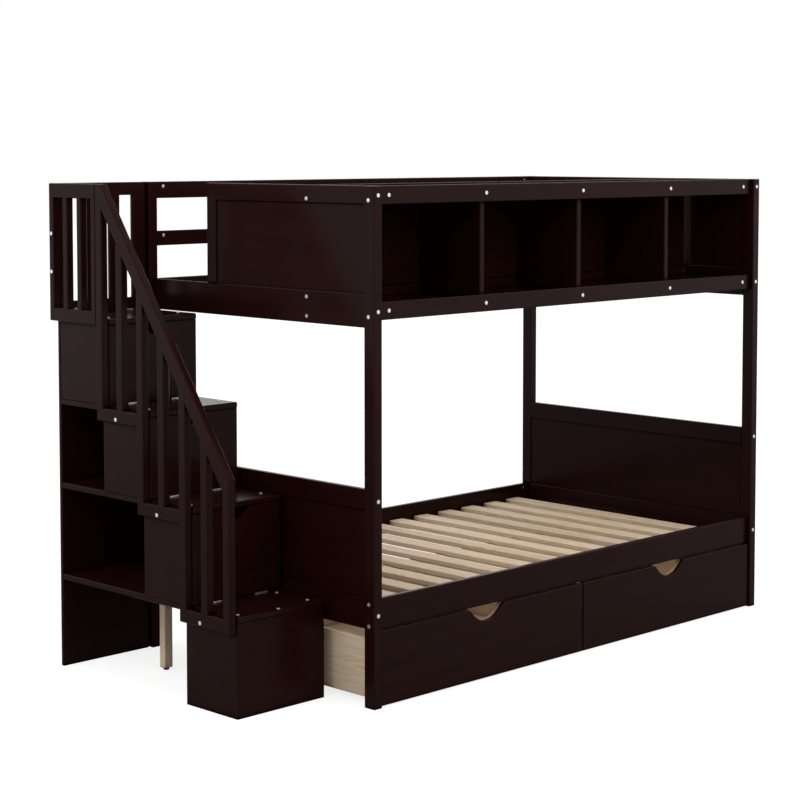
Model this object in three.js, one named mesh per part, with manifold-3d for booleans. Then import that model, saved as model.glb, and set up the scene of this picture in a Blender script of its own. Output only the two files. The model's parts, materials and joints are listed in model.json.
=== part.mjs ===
// Twin bunk bed with a storage staircase at its left end, an open bookshelf along the front of the
// upper bunk and two drawers on wheels under the lower bunk.
//
// Millimetres, +Z up. The bed stands on Z = 0, its front faces -Y and the staircase is at -X. Sizes are
// first laid out from the outer corner of the front left post; the whole model is then moved so that
// its origin is at the middle of its base.

import * as THREE from 'three';
import { mergeVertices } from 'three/addons/utils/BufferGeometryUtils.js';
import Module from 'manifold-3d';

const wasm = await Module();
wasm.setup();

// ---------------------------------------------------------------- driving dimensions

const fit = 0.3; // gap left between two pieces that touch
const running = 0.5; // gap round a piece that moves

const bed = { length: 2019, depth: 1149, height: 1619 };
const post = { width: 35, depth: 46 };
const rail = { setback: 16, thickness: 20 };
const panelThickness = 9; // thin panels of the end boards
const tongue = 8; // how far a panel stands in the groove of the rail below it

const lower = { railBottom: 243, railHeight: 99, boardTop: 681, boardRail: 65 };
const upper = { railBottom: 1182, railHeight: 104, topRail: 57 };
const guard = { middleHeight: 51 }; // its middle rail lies half way between the rails above and below

const slat = { width: 70, thickness: 18, pitch: 135, firstX: 84, belowRail: 50, endGap: 2 };
const ledger = { width: 22, height: 26 };
const centreBeam = { width: 45, height: 30 };

const bookshelf = {
  railThickness: 18, bottomRailAbove: 24, bottomRailHeight: 56,
  boardThickness: 16, floorBelowRail: 12, topBelowRail: 19,
  back: 303, backThickness: 16, backGap: 24, bays: 4, dividerThickness: 21,
};

const entry = { stileWidth: 46, stileFront: 770 }; // post beside the way on to the upper bunk

const drawer = {
  frontSetback: 7, frontThickness: 15, bottom: 4, belowRail: 2, sideGap: 2, middleGap: 4,
  gripWidth: 175, gripDepth: 47, gripTip: 0.09, gripRound: 0.33,
  trayDepth: 740, trayWall: 12, trayInset: 1.5, trayBottom: 20,
  trayTop: 207, floorHeight: 44, floorThickness: 9,
};
const wheel = {
  radius: 19, width: 17, axleRadius: 3, bore: 3.6, cheek: 4, cheekWidth: 20, fromSide: 60, fromEnd: 70,
};

const stair = {
  width: 360, gapToBed: 4, front: 222, going: 209, boxDepth: 246, wall: 15, lid: 20,
  tops: [314, 622, 903, 1183], overhang: 4, sideDrop: 5, bottomBoard: 12, bottomBoardHeight: 14,
  backSetback: 16, gripWidth: 98, gripDepth: 36, gripRounding: 8,
  hingeGap: 4, // behind each lid, for the knuckles of its hinges
};
const leg = { width: 34, depth: 28, left: 200, front: 829, foot: 8, footRadius: 10 };

const handrail = {
  thickness: 26, upright: 33, slope: 1.405, depth: 47.5, footRail: 42, footBelowTread: 6,
  topBelowBed: 83.5, bottomDrop: 5,
};
const outerGuard = {
  back: 10, belowTread: 18, stile: 24, topRail: 48, bottomRail: 43, baluster: 24, balusters: 2,
};
const backGuard = { thickness: 15, stile: 57, topRail: 44, bottomRail: 43, baluster: 43, balusters: 2 };

const ease = { board: 2.5, post: 2.5, lid: 4, handrail: 3, tray: 1.5, leg: 2 }; // rounding of sawn edges
const cornerSteps = 1; // facets in an eased edge
const curveSteps = 8; // facets in each half of a finger grip
const wheelSteps = 18;

// ---------------------------------------------------------------- finishes

const espresso = new THREE.MeshStandardMaterial({ color: 0x2b1c19, roughness: 0.45, metalness: 0 });
const pine = new THREE.MeshStandardMaterial({ color: 0xcdb891, roughness: 0.7, metalness: 0 });
const rubber = new THREE.MeshStandardMaterial({ color: 0x1a1a1a, roughness: 0.8, metalness: 0 });

// ---------------------------------------------------------------- solids and profiles

const frame = new THREE.Group();
const leftmost = -stair.gapToBed - stair.width - fit - handrail.thickness;
frame.position.set(-(bed.length + leftmost) / 2, -bed.depth / 2, 0);

function add(name, geometry, material) {
  const mesh = new THREE.Mesh(geometry, material);
  mesh.name = name;
  frame.add(mesh);
}

function solid(geometry) {
  const bare = geometry.clone();
  bare.deleteAttribute('normal');
  bare.deleteAttribute('uv');
  const merged = mergeVertices(bare, 1e-4);
  return new wasm.Manifold(new wasm.Mesh({
    numProp: 3,
    vertProperties: merged.attributes.position.array,
    triVerts: new Uint32Array(merged.index.array),
  }));
}

function geometryOf(manifold) {
  const { vertProperties, triVerts } = manifold.getMesh();
  const geometry = new THREE.BufferGeometry();
  geometry.setAttribute('position', new THREE.BufferAttribute(vertProperties, 3));
  geometry.setIndex(new THREE.BufferAttribute(triVerts, 1));
  return geometry;
}

const joined = (geometries) => geometries.map(solid).reduce((a, b) => a.add(b));

// A closed outline through the points, each corner rounded by its own radius (or the common one).
function outline(points, radius) {
  const shape = new THREE.Shape();
  const corners = points.map(([x, y, r]) => ({ at: new THREE.Vector2(x, y), r: r ?? radius }));
  corners.forEach(({ at, r }, i) => {
    const before = corners.at(i - 1).at;
    const after = corners[(i + 1) % corners.length].at;
    const enter = at.clone().add(before.clone().sub(at).setLength(r));
    const leave = at.clone().add(after.clone().sub(at).setLength(r));
    if (i === 0) shape.moveTo(enter.x, enter.y);
    else shape.lineTo(enter.x, enter.y);
    if (r > 0) shape.quadraticCurveTo(at.x, at.y, leave.x, leave.y);
  });
  shape.closePath();
  return shape;
}

const rectangle = (x0, y0, x1, y1, radius = 0) => outline([[x0, y0], [x1, y0], [x1, y1], [x0, y1]], radius);

// How a profile's own x, y and length lie in the model, for a profile that runs along each axis.
const [alongX, alongY, againstY, alongZ] = [[1, 0, 0], [0, 1, 0], [0, -1, 0], [0, 0, 1]].map(
  (direction) => new THREE.Vector3(...direction),
);
const runAlong = {
  x: new THREE.Matrix4().makeBasis(alongY, alongZ, alongX),
  y: new THREE.Matrix4().makeBasis(alongX, alongZ, againstY),
  z: new THREE.Matrix4(),
};

// Extrudes a profile from one place to another along an axis. Profiles along X are drawn in (Y, Z),
// along Y in (X, Z) and along Z in (X, Y). The two ends are rounded over by the given radius.
function extrude(shape, axis, from, to, rounding = 0, steps = cornerSteps) {
  const geometry = new THREE.ExtrudeGeometry(shape, {
    depth: to - from - 2 * rounding,
    curveSegments: steps,
    bevelEnabled: rounding > 0,
    bevelThickness: rounding,
    bevelSize: rounding,
    bevelOffset: -rounding,
    bevelSegments: cornerSteps,
  });
  geometry.translate(0, 0, rounding + (axis === 'y' ? -to : from));
  return geometry.applyMatrix4(runAlong[axis]);
}

// A sawn board between two corners, every edge eased, with its profile along its longest side.
function board([x0, y0, z0], [x1, y1, z1], rounding = ease.board) {
  const sizes = { x: x1 - x0, y: y1 - y0, z: z1 - z0 };
  const longest = Math.max(sizes.x, sizes.y, sizes.z);
  if (sizes.x === longest) return extrude(rectangle(y0, z0, y1, z1, rounding), 'x', x0, x1, rounding);
  if (sizes.y === longest) return extrude(rectangle(x0, z0, x1, z1, rounding), 'y', y0, y1, rounding);
  return extrude(rectangle(x0, y0, x1, y1, rounding), 'z', z0, z1, rounding);
}

// ---------------------------------------------------------------- places that several pieces share

const left = { inner: post.width, railOuter: rail.setback, railInner: rail.setback + rail.thickness };
const right = {
  inner: bed.length - left.inner,
  railOuter: bed.length - left.railOuter,
  railInner: bed.length - left.railInner,
};
const frontY = { postInner: post.depth, railOuter: rail.setback, railInner: rail.setback + rail.thickness };
const backY = {
  postInner: bed.depth - post.depth, railOuter: bed.depth - rail.setback,
  railInner: bed.depth - rail.setback - rail.thickness,
};
const lowerRailTop = lower.railBottom + lower.railHeight;
const upperRailTop = upper.railBottom + upper.railHeight;

// ---------------------------------------------------------------- posts and rails

function posts() {
  const ends = { left: 0, right: bed.length - post.width };
  const sides = { front: 0, back: bed.depth - post.depth };
  for (const [side, y] of Object.entries(sides)) {
    for (const [end, x] of Object.entries(ends)) {
      const corner = [x + post.width, y + post.depth, bed.height];
      add(`post_${side}_${end}`, board([x, y, 0], corner, ease.post), espresso);
    }
  }
}

// A rail between the left and the right posts.
function sideRail(name, outerY, innerY, bottom, height) {
  const [y0, y1] = [Math.min(outerY, innerY), Math.max(outerY, innerY)];
  add(name, board([left.inner + fit, y0, bottom], [right.inner - fit, y1, bottom + height]), espresso);
}

// A rail between the front and the back post, grooved along its top for the panel that stands in it.
function endRail(name, end, bottom, top) {
  const [x0, x1] = end === 'left' ? [left.railOuter, left.railInner] : [right.railInner, right.railOuter];
  const middle = (x0 + x1) / 2;
  const half = panelThickness / 2 + fit;
  const bed0 = top - tongue - fit;
  const section = outline([
    [x0, bottom], [x1, bottom], [x1, top],
    [middle + half, top, 0], [middle + half, bed0, 0], [middle - half, bed0, 0], [middle - half, top, 0],
    [x0, top],
  ], ease.board);
  add(name, extrude(section, 'y', frontY.postInner + fit, backY.postInner - fit), espresso);
}

// A thin panel with its capping rail, the panel's foot standing in the groove of the end rail.
function endBoard(end, y0, y1, railTop, capBottom, capTop) {
  const [x0, x1] = end === 'left' ? [left.railOuter, left.railInner] : [right.railInner, right.railOuter];
  const middle = (x0 + x1) / 2;
  const half = panelThickness / 2;
  const section = outline([
    [middle - half, railTop - tongue, 0], [middle + half, railTop - tongue, 0], [middle + half, capBottom, 0],
    [x1, capBottom], [x1, capTop], [x0, capTop], [x0, capBottom], [middle - half, capBottom, 0],
  ], ease.board);
  return extrude(section, 'y', y0, y1);
}

function bedFrame() {
  posts();
  sideRail('lower_front_rail', frontY.railOuter, frontY.railInner, lower.railBottom, lower.railHeight);
  sideRail('lower_back_rail', backY.railOuter, backY.railInner, lower.railBottom, lower.railHeight);
  sideRail('upper_back_rail', backY.railOuter, backY.railInner, upper.railBottom, upper.railHeight);
  sideRail('guard_top_rail', backY.railOuter, backY.railInner, bed.height - upper.topRail, upper.topRail);
  const middleBottom = (upperRailTop + bed.height - upper.topRail - guard.middleHeight) / 2;
  sideRail('guard_middle_rail', backY.railOuter, backY.railInner, middleBottom, guard.middleHeight);

  const [y0, y1] = [frontY.postInner + fit, backY.postInner - fit];
  for (const end of ['left', 'right']) {
    endRail(`lower_${end}_rail`, end, lower.railBottom, lowerRailTop);
    const capBottom = lower.boardTop - lower.boardRail;
    add(`lower_${end}_end_board`, endBoard(end, y0, y1, lowerRailTop, capBottom, lower.boardTop), espresso);
    endRail(`upper_${end}_rail`, end, upper.railBottom, upperRailTop);
  }

  const capBottom = bed.height - upper.topRail;
  add('upper_right_end_board', endBoard('right', y0, y1, upperRailTop, capBottom, bed.height), espresso);
  // The left one stops at a stile, which leaves the way in from the staircase open.
  const stileBack = entry.stileFront + entry.stileWidth;
  const panel = endBoard('left', y0, entry.stileFront + 1, upperRailTop, capBottom, bed.height);
  const stile = board(
    [left.railOuter, entry.stileFront, upperRailTop + fit], [left.railInner, stileBack, bed.height],
  );
  add('upper_left_end_board', geometryOf(joined([panel, stile])), espresso);
}

// ---------------------------------------------------------------- slatted decks

// Slats across two ledgers, one against the rail at each side, and a beam under the middle if it is wide.
function slatDeck(name, railFront, railBack, railTop, withBeam) {
  const top = railTop - slat.belowRail;
  const under = top - slat.thickness;
  const seat = under + 0.5; // the ledgers are glued to the slats
  const first = slat.firstX;
  const count = Math.floor((right.railInner - first - slat.width) / slat.pitch) + 1;
  const last = first + (count - 1) * slat.pitch + slat.width;
  const pieces = [];
  for (let i = 0; i < count; i += 1) {
    const x = first + i * slat.pitch;
    const [y0, y1] = [railFront + slat.endGap, railBack - slat.endGap];
    pieces.push(board([x, y0, under], [x + slat.width, y1, top], ease.board));
  }
  const run = (y0, y1, height) => extrude(rectangle(y0, seat - height, y1, seat), 'x', first, last);
  pieces.push(run(railFront + fit, railFront + ledger.width, ledger.height));
  pieces.push(run(railBack - ledger.width, railBack - fit, ledger.height));
  if (withBeam) {
    const beamFront = (railFront + railBack - centreBeam.width) / 2;
    pieces.push(run(beamFront, beamFront + centreBeam.width, centreBeam.height));
  }
  add(name, geometryOf(joined(pieces)), pine);
}

// ---------------------------------------------------------------- bookshelf along the upper bunk

function bookshelfAndDeck() {
  const deckFront = bookshelf.back;
  const [x0, x1] = [left.railInner + fit, right.railInner - fit];
  add('upper_front_rail', board(
    [x0, deckFront, upper.railBottom], [x1, deckFront + rail.thickness, upperRailTop],
  ), espresso);
  slatDeck('upper_slats', deckFront + rail.thickness, backY.railInner, upperRailTop, false);

  const railBack = frontY.railOuter + bookshelf.railThickness;
  const { bottomRailHeight } = bookshelf;
  const bottomRailBottom = upper.railBottom + bookshelf.bottomRailAbove;
  sideRail('shelf_top_rail', frontY.railOuter, railBack, bed.height - upper.topRail, upper.topRail);
  sideRail('shelf_bottom_rail', frontY.railOuter, railBack, bottomRailBottom, bottomRailHeight);

  const floorTop = bottomRailBottom + bottomRailHeight - bookshelf.floorBelowRail;
  const roofTop = bed.height - bookshelf.topBelowRail;
  const roofUnder = roofTop - bookshelf.boardThickness;
  const [y0, y1] = [railBack + fit, deckFront - fit];
  add('shelf_floor', board([x0, y0, floorTop - bookshelf.boardThickness], [x1, y1, floorTop]), espresso);
  add('shelf_top', board([x0, y0, roofUnder], [x1, y1, roofTop]), espresso);
  add('shelf_back', board(
    [x0 + bookshelf.backGap, deckFront, upperRailTop + fit],
    [x1 - bookshelf.backGap, deckFront + bookshelf.backThickness, bed.height],
  ), espresso);

  const bay = (right.railInner - left.railInner) / bookshelf.bays;
  for (let i = 1; i < bookshelf.bays; i += 1) {
    const middle = left.railInner + i * bay;
    const half = bookshelf.dividerThickness / 2;
    add(`shelf_divider_${i}`, board(
      [middle - half, y0, floorTop + fit], [middle + half, y1, roofUnder - fit],
    ), espresso);
  }
}

// ---------------------------------------------------------------- drawers

// The outline of a drawer's board seen from the front, with a finger grip scooped out of its top edge.
function scoopedFront(x0, z0, x1, z1) {
  const { gripWidth: width, gripDepth: depth } = drawer;
  const middle = (x0 + x1) / 2;
  const shape = new THREE.Shape();
  shape.moveTo(x0, z0);
  shape.lineTo(x1, z0);
  shape.lineTo(x1, z1);
  shape.lineTo(middle + width / 2, z1);
  const ease0 = width * drawer.gripTip; // length of the shallow run-out at each end of the scoop
  const ease1 = width * drawer.gripRound; // how far the bottom of the scoop stays nearly level
  shape.bezierCurveTo(middle + width / 2 - ease0, z1, middle + ease1, z1 - depth, middle, z1 - depth);
  shape.bezierCurveTo(middle - ease1, z1 - depth, middle - width / 2 + ease0, z1, middle - width / 2, z1);
  shape.lineTo(x0, z1);
  shape.closePath();
  return shape;
}

// One wheel with its axle, turned about its own axis and then laid along X.
function wheelGeometry() {
  const half = wheel.width / 2;
  const axleEnd = half + running + wheel.cheek + 1;
  const hub = wheel.radius * 0.45;
  const rim = wheel.radius - 4;
  const profile = [
    [0, -axleEnd], [wheel.axleRadius, -axleEnd], [wheel.axleRadius, -half], [hub, -half],
    [hub, -half + 2], [rim, -half + 2], [rim, -half], [wheel.radius - 1.5, -half],
    [wheel.radius, -half + 1.5],
  ];
  const mirrored = profile.map(([r, h]) => [r, -h]).reverse();
  const points = [...profile, ...mirrored].map(([r, h]) => new THREE.Vector2(r, h));
  return new THREE.LatheGeometry(points, wheelSteps).rotateZ(Math.PI / 2);
}

// The cheeks that hold a wheel's axle, hanging from the drawer's floor.
function forkGeometries(x, y, underFloor) {
  const axleHeight = wheel.radius + fit;
  const half = wheel.cheekWidth / 2;
  const shape = new THREE.Shape();
  shape.moveTo(y + half, underFloor);
  shape.lineTo(y - half, underFloor);
  shape.lineTo(y - half, axleHeight);
  shape.absarc(y, axleHeight, half, Math.PI, 2 * Math.PI, false);
  shape.closePath();
  const hole = new THREE.Path();
  hole.absarc(y, axleHeight, wheel.bore, 0, 2 * Math.PI, true);
  shape.holes.push(hole);
  const inner = wheel.width / 2 + running;
  const outer = inner + wheel.cheek;
  const steps = 6;
  return [
    extrude(shape, 'x', x + inner, x + outer, 0, steps),
    extrude(shape, 'x', x - outer, x - inner, 0, steps),
  ];
}

function drawers() {
  const top = lower.railBottom - drawer.belowRail;
  const inside = [left.inner + drawer.sideGap, right.inner - drawer.sideGap];
  const middle = (inside[0] + inside[1]) / 2;
  const bays = {
    left: [inside[0], middle - drawer.middleGap / 2],
    right: [middle + drawer.middleGap / 2, inside[1]],
  };
  for (const [side, [x0, x1]] of Object.entries(bays)) {
    const frontBack = drawer.frontSetback + drawer.frontThickness;
    add(`drawer_${side}_front`, extrude(
      scoopedFront(x0, drawer.bottom, x1, top), 'y', drawer.frontSetback, frontBack, ease.board, curveSteps,
    ), espresso);

    const [a, b] = [x0 + drawer.trayInset, x1 - drawer.trayInset];
    const [y0, y1] = [frontBack + fit, frontBack + fit + drawer.trayDepth];
    const wall = drawer.trayWall;
    const floorTop = drawer.floorHeight + drawer.floorThickness;
    add(`drawer_${side}_inner_front`, extrude(
      scoopedFront(a + wall + fit, floorTop + fit, b - wall - fit, top), 'y', y0, y0 + wall, 0, curveSteps,
    ), pine);

    const sides = outline([
      [a, y0], [a + wall, y0], [a + wall, y1 - wall], [b - wall, y1 - wall], [b - wall, y0], [b, y0],
      [b, y1, ease.board], [a, y1, ease.board],
    ], 0);
    const pieces = [
      extrude(sides, 'z', drawer.trayBottom, drawer.trayTop, ease.tray),
      extrude(rectangle(a + 2, y0 + 2, b - 2, y1 - 2), 'z', drawer.floorHeight, floorTop),
    ];
    const wheelPlaces = {
      front_left: [a + wheel.fromSide, y0 + wheel.fromEnd],
      front_right: [b - wheel.fromSide, y0 + wheel.fromEnd],
      back_left: [a + wheel.fromSide, y1 - wheel.fromEnd],
      back_right: [b - wheel.fromSide, y1 - wheel.fromEnd],
    };
    for (const [place, [x, y]] of Object.entries(wheelPlaces)) {
      pieces.push(...forkGeometries(x, y, drawer.floorHeight + 1));
      const turned = wheelGeometry().translate(x, y, wheel.radius + fit);
      add(`drawer_${side}_wheel_${place}`, turned, rubber);
    }
    add(`drawer_${side}_tray`, geometryOf(joined(pieces)), pine);
  }
}

// ---------------------------------------------------------------- staircase

const stairRight = -stair.gapToBed;
const stairLeft = stairRight - stair.width;
const stairBack = bed.depth - stair.backSetback - stair.wall; // inner face of the back panel
const riser = (step) => stair.front + step * stair.going; // front face of each step's box, from 0

// The four walls of one step's box, lower on the bed's side. The first box has a bottom of its own; each
// of the others stands on a shelf board and has a finger grip under its lid.
function stepBox(step, bottom, y1, withBottom) {
  const y0 = riser(step);
  const top = stair.tops[step] - stair.lid - fit;
  const [w, r] = [stair.wall, ease.board];
  const walls = rectangle(stairLeft, y0, stairRight, y1, r);
  walls.holes.push(rectangle(stairLeft + w, y0 + w, stairRight - w, y1 - w));
  let box = solid(extrude(walls, 'z', bottom, top));
  const lowered = extrude(rectangle(
    stairRight - w, y0 + w + 1, stairRight + 1, y1 - w - 1,
  ), 'z', top - stair.sideDrop, top + 1);
  box = box.subtract(solid(lowered));
  if (!withBottom) {
    const middle = (stairLeft + stairRight) / 2;
    const [wide, deep] = [stair.gripWidth / 2, stair.gripDepth];
    const grip = outline([
      [middle - wide - 1, top + 1, 0], [middle - wide + deep, top - deep], [middle + wide - deep, top - deep],
      [middle + wide + 1, top + 1, 0],
    ], stair.gripRounding);
    box = box.subtract(solid(extrude(grip, 'y', y0 - 1, y0 + w + 1, 0, curveSteps)));
  }
  if (withBottom) {
    const floor0 = stair.bottomBoardHeight;
    box = box.add(solid(extrude(rectangle(
      stairLeft + w - 1, y0 + w - 1, stairRight - w + 1, y1 - w + 1,
    ), 'z', floor0, floor0 + stair.bottomBoard)));
  }
  add(`step_box_${step + 1}`, geometryOf(box), espresso);
}

function staircase() {
  const last = stair.tops.length - 1;
  stair.tops.forEach((top, step) => {
    const bottom = step === 0 ? 0 : stair.tops[step - 1] + fit;
    const back = step === last ? stairBack - fit : riser(step) + stair.boxDepth;
    stepBox(step, bottom, back, step === 0);

    // Lid: hinged along its back edge, just in front of the riser or the guard behind it.
    const lidBack = (step === last ? stairBack : riser(step + 1)) - stair.hingeGap;
    add(`step_lid_${step + 1}`, board(
      [stairLeft + fit, riser(step) - stair.overhang, top - stair.lid],
      [stairRight - fit, lidBack, top],
      ease.lid,
    ), espresso);
  });

  // Shelf boards carry on from each lid to the back panel, under the next box.
  const names = ['stair_base_shelf', 'stair_middle_shelf', 'stair_upper_shelf'];
  names.forEach((name, step) => {
    const top = stair.tops[step];
    const [y0, y1] = [riser(step + 1) + fit, stairBack - fit];
    const notchFront = riser(2) + stair.boxDepth; // the middle one lets the side panel pass
    const notch = stairRight - stair.wall - fit;
    const backCorners = step === 1
      ? [[stairRight, notchFront], [notch, notchFront], [notch, y1]]
      : [[stairRight, y1]];
    const corners = [[stairLeft, y0], [stairRight, y0], ...backCorners, [stairLeft, y1]];
    add(name, extrude(outline(corners, 0), 'z', top - stair.lid, top, ease.board), espresso);
  });

  add('stair_back_panel', board(
    [stairLeft, stairBack, 0], [stairRight, stairBack + stair.wall, stair.tops[last]],
  ), espresso);

  // Panel that closes the open shelves on the bed's side, stepped like the boxes in front of it.
  const [base, middle, high] = stair.tops;
  const lowFront = riser(1) + stair.boxDepth + fit;
  const highFront = riser(2) + stair.boxDepth + fit;
  const underMiddle = middle - stair.lid - fit;
  const underHigh = high - stair.lid - fit;
  const side = outline([
    [lowFront, base + fit], [stairBack - fit, base + fit], [stairBack - fit, underHigh],
    [highFront, underHigh], [highFront, underMiddle], [lowFront, underMiddle],
  ], 0);
  add('stair_side_panel', extrude(side, 'x', stairRight - stair.wall, stairRight), espresso);

  const legLeft = stairLeft + leg.left;
  add('stair_leg', board(
    [legLeft, leg.front, leg.foot + fit],
    [legLeft + leg.width, leg.front + leg.depth, base - stair.lid - fit],
    ease.leg,
  ), pine);
  const foot = [[0, 0], [leg.footRadius - 1.5, 0], [leg.footRadius, 1.5], [leg.footRadius, leg.foot - 2],
    [leg.footRadius - 3, leg.foot], [0, leg.foot]].map(([r, h]) => new THREE.Vector2(r, h));
  add('stair_foot', new THREE.LatheGeometry(foot, wheelSteps).rotateX(Math.PI / 2)
    .translate(legLeft + leg.width / 2, leg.front + leg.depth / 2, 0), rubber);
}

// ---------------------------------------------------------------- handrail and guards of the staircase

const treads = stair.tops.length - 1; // steps beside the handrail
const startOf = (i) => stair.front + stair.overhang + i * stair.going / 2; // front edge of upright i

// Uprights stand at the front of every tread and half way along it. Every second one runs down to the
// bottom of a short foot rail, which is bolted to the side of a step's box.
function handrailFrame() {
  const [inner, w] = [stairLeft - fit, handrail.upright];
  const outer = inner - handrail.thickness;
  const topY = startOf(2 * treads);
  const topAtPost = bed.height - handrail.topBelowBed;
  const under = (y) => topAtPost + handrail.slope * (y - topY); // lower edge of the sloped rail
  const rise = handrail.depth * Math.hypot(1, handrail.slope); // its depth, measured upright
  const footTop = (tread) => stair.tops[tread] - handrail.footBelowTread;

  const [end0, end1] = [startOf(0), topY + w - ease.handrail];
  const topCorner = topY + (handrail.topBelowBed - rise) / handrail.slope;
  const sloped = outline([
    [end0, under(end0)], [end1, under(end1)], [end1, bed.height], [topCorner, bed.height],
    [end0, under(end0) + rise],
  ], 0);
  const pieces = [extrude(sloped, 'x', outer, inner, ease.handrail)];
  const upright = (i, z0, z1) => pieces.push(
    board([outer, startOf(i), z0], [inner, startOf(i) + w, z1], ease.handrail),
  );
  for (let tread = 0; tread < treads; tread += 1) {
    const foot = footTop(tread) - handrail.footRail;
    const [y0, y1] = [startOf(2 * tread) + w / 2, startOf(2 * tread + 2) + w];
    pieces.push(board([outer, y0, foot], [inner, y1, footTop(tread)], ease.handrail));
    const below = tread === 0 ? foot - handrail.bottomDrop : footTop(tread - 1) - handrail.footRail;
    upright(2 * tread, below, under(startOf(2 * tread)) + rise / 2);
    upright(2 * tread + 1, footTop(tread) - ease.board * 4, under(startOf(2 * tread + 1)) + rise / 2);
  }
  upright(2 * treads, footTop(treads - 1) - handrail.footRail, bed.height);
  add('handrail', geometryOf(joined(pieces)), espresso);
}

// A guard of boards: a full-height stile at each end, two rails and evenly spaced balusters. The
// corner function turns a place along the guard and a height into a corner at its near or far face.
function guardFrame(corner, x0, x1, z0, z1, size) {
  const { stile, topRail, bottomRail, baluster, balusters } = size;
  const pieces = [];
  const piece = (a0, b0, a1, b1) => pieces.push(board(corner(a0, b0, 0), corner(a1, b1, 1)));
  piece(x0, z0, x0 + stile, z1);
  piece(x1 - stile, z0, x1, z1);
  piece(x0 + stile / 2, z0, x1 - stile / 2, z0 + bottomRail);
  piece(x0 + stile / 2, z1 - topRail, x1 - stile / 2, z1);
  const open = (x1 - x0 - 2 * stile - balusters * baluster) / (balusters + 1);
  for (let i = 1; i <= balusters; i += 1) {
    const start = x0 + stile + i * open + (i - 1) * baluster;
    piece(start, z0 + bottomRail / 2, start + baluster, z1 - topRail / 2);
  }
  return geometryOf(joined(pieces));
}

function guards() {
  const inner = stairLeft - fit;
  add('outer_guard', guardFrame(
    (y, z, far) => [far ? inner : inner - handrail.thickness, y, z],
    startOf(2 * treads) + handrail.upright + fit, bed.depth - outerGuard.back,
    stair.tops.at(-1) - outerGuard.belowTread, bed.height, outerGuard,
  ), espresso);
  add('back_guard', guardFrame(
    (x, z, far) => [x, far ? stairBack + backGuard.thickness : stairBack, z],
    stairLeft, stairRight, stair.tops.at(-1) + fit, bed.height, backGuard,
  ), espresso);
}

// ---------------------------------------------------------------- the whole bed

bedFrame();
slatDeck('lower_slats', frontY.railInner, backY.railInner, lowerRailTop, true);
bookshelfAndDeck();
drawers();
staircase();
handrailFrame();
guards();

const bunkBed = new THREE.Group();
bunkBed.add(frame);
export default bunkBed;
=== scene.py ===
"""Finishes, fittings and a plain studio for a bunk bed with a storage staircase.

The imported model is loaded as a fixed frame. Its pieces get a dark lacquer, bare pine or black plastic, and
the bolts, screws and lid hinges that hold them together are modelled here and ride on the same bodies.
"""

import json
import math

import bpy
from bpy.props import FloatProperty, FloatVectorProperty, IntProperty, PointerProperty
from mathutils import Matrix, Vector


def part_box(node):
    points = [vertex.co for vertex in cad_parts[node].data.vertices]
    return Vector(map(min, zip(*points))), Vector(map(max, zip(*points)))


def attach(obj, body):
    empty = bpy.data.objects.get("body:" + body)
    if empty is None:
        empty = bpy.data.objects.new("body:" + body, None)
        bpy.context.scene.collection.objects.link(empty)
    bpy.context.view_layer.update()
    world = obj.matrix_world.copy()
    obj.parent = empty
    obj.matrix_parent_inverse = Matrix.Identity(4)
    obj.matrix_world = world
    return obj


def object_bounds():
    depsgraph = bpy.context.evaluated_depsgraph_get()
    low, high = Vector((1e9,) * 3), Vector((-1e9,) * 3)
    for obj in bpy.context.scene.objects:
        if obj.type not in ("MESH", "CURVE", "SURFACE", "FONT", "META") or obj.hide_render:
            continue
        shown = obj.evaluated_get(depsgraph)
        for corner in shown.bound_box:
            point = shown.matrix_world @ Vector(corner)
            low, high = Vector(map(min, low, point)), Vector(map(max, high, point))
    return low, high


bl_info = {
    "name": "Staircase Bunk Bed",
    "version": (1, 0, 0),
    "blender": (4, 5, 0),
    "location": "3D View > Sidebar > Bunk Bed",
    "description": "Lacquer, pine, fittings and a plain studio for a bunk bed with a storage staircase",
    "category": "Object",
}

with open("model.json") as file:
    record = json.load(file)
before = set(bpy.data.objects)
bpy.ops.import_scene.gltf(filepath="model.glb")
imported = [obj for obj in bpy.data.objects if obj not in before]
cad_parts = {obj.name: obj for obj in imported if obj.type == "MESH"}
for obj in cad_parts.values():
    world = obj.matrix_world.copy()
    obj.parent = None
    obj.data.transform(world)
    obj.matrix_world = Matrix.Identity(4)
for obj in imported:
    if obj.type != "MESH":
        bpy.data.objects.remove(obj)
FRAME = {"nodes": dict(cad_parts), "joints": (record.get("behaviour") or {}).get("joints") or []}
CAD_BOX = [list(corner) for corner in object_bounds()]

BED_LOW, BED_HIGH = (Vector(corner) for corner in CAD_BOX)
TREADS = 4
BED_BODY = "bed"
# The bed's side that faces each way.
SIDES = {"-X": "left", "+X": "right", "-Y": "front", "+Y": "back"}


# ---------------------------------------------------------------- sizes and colours that can be changed


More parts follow.
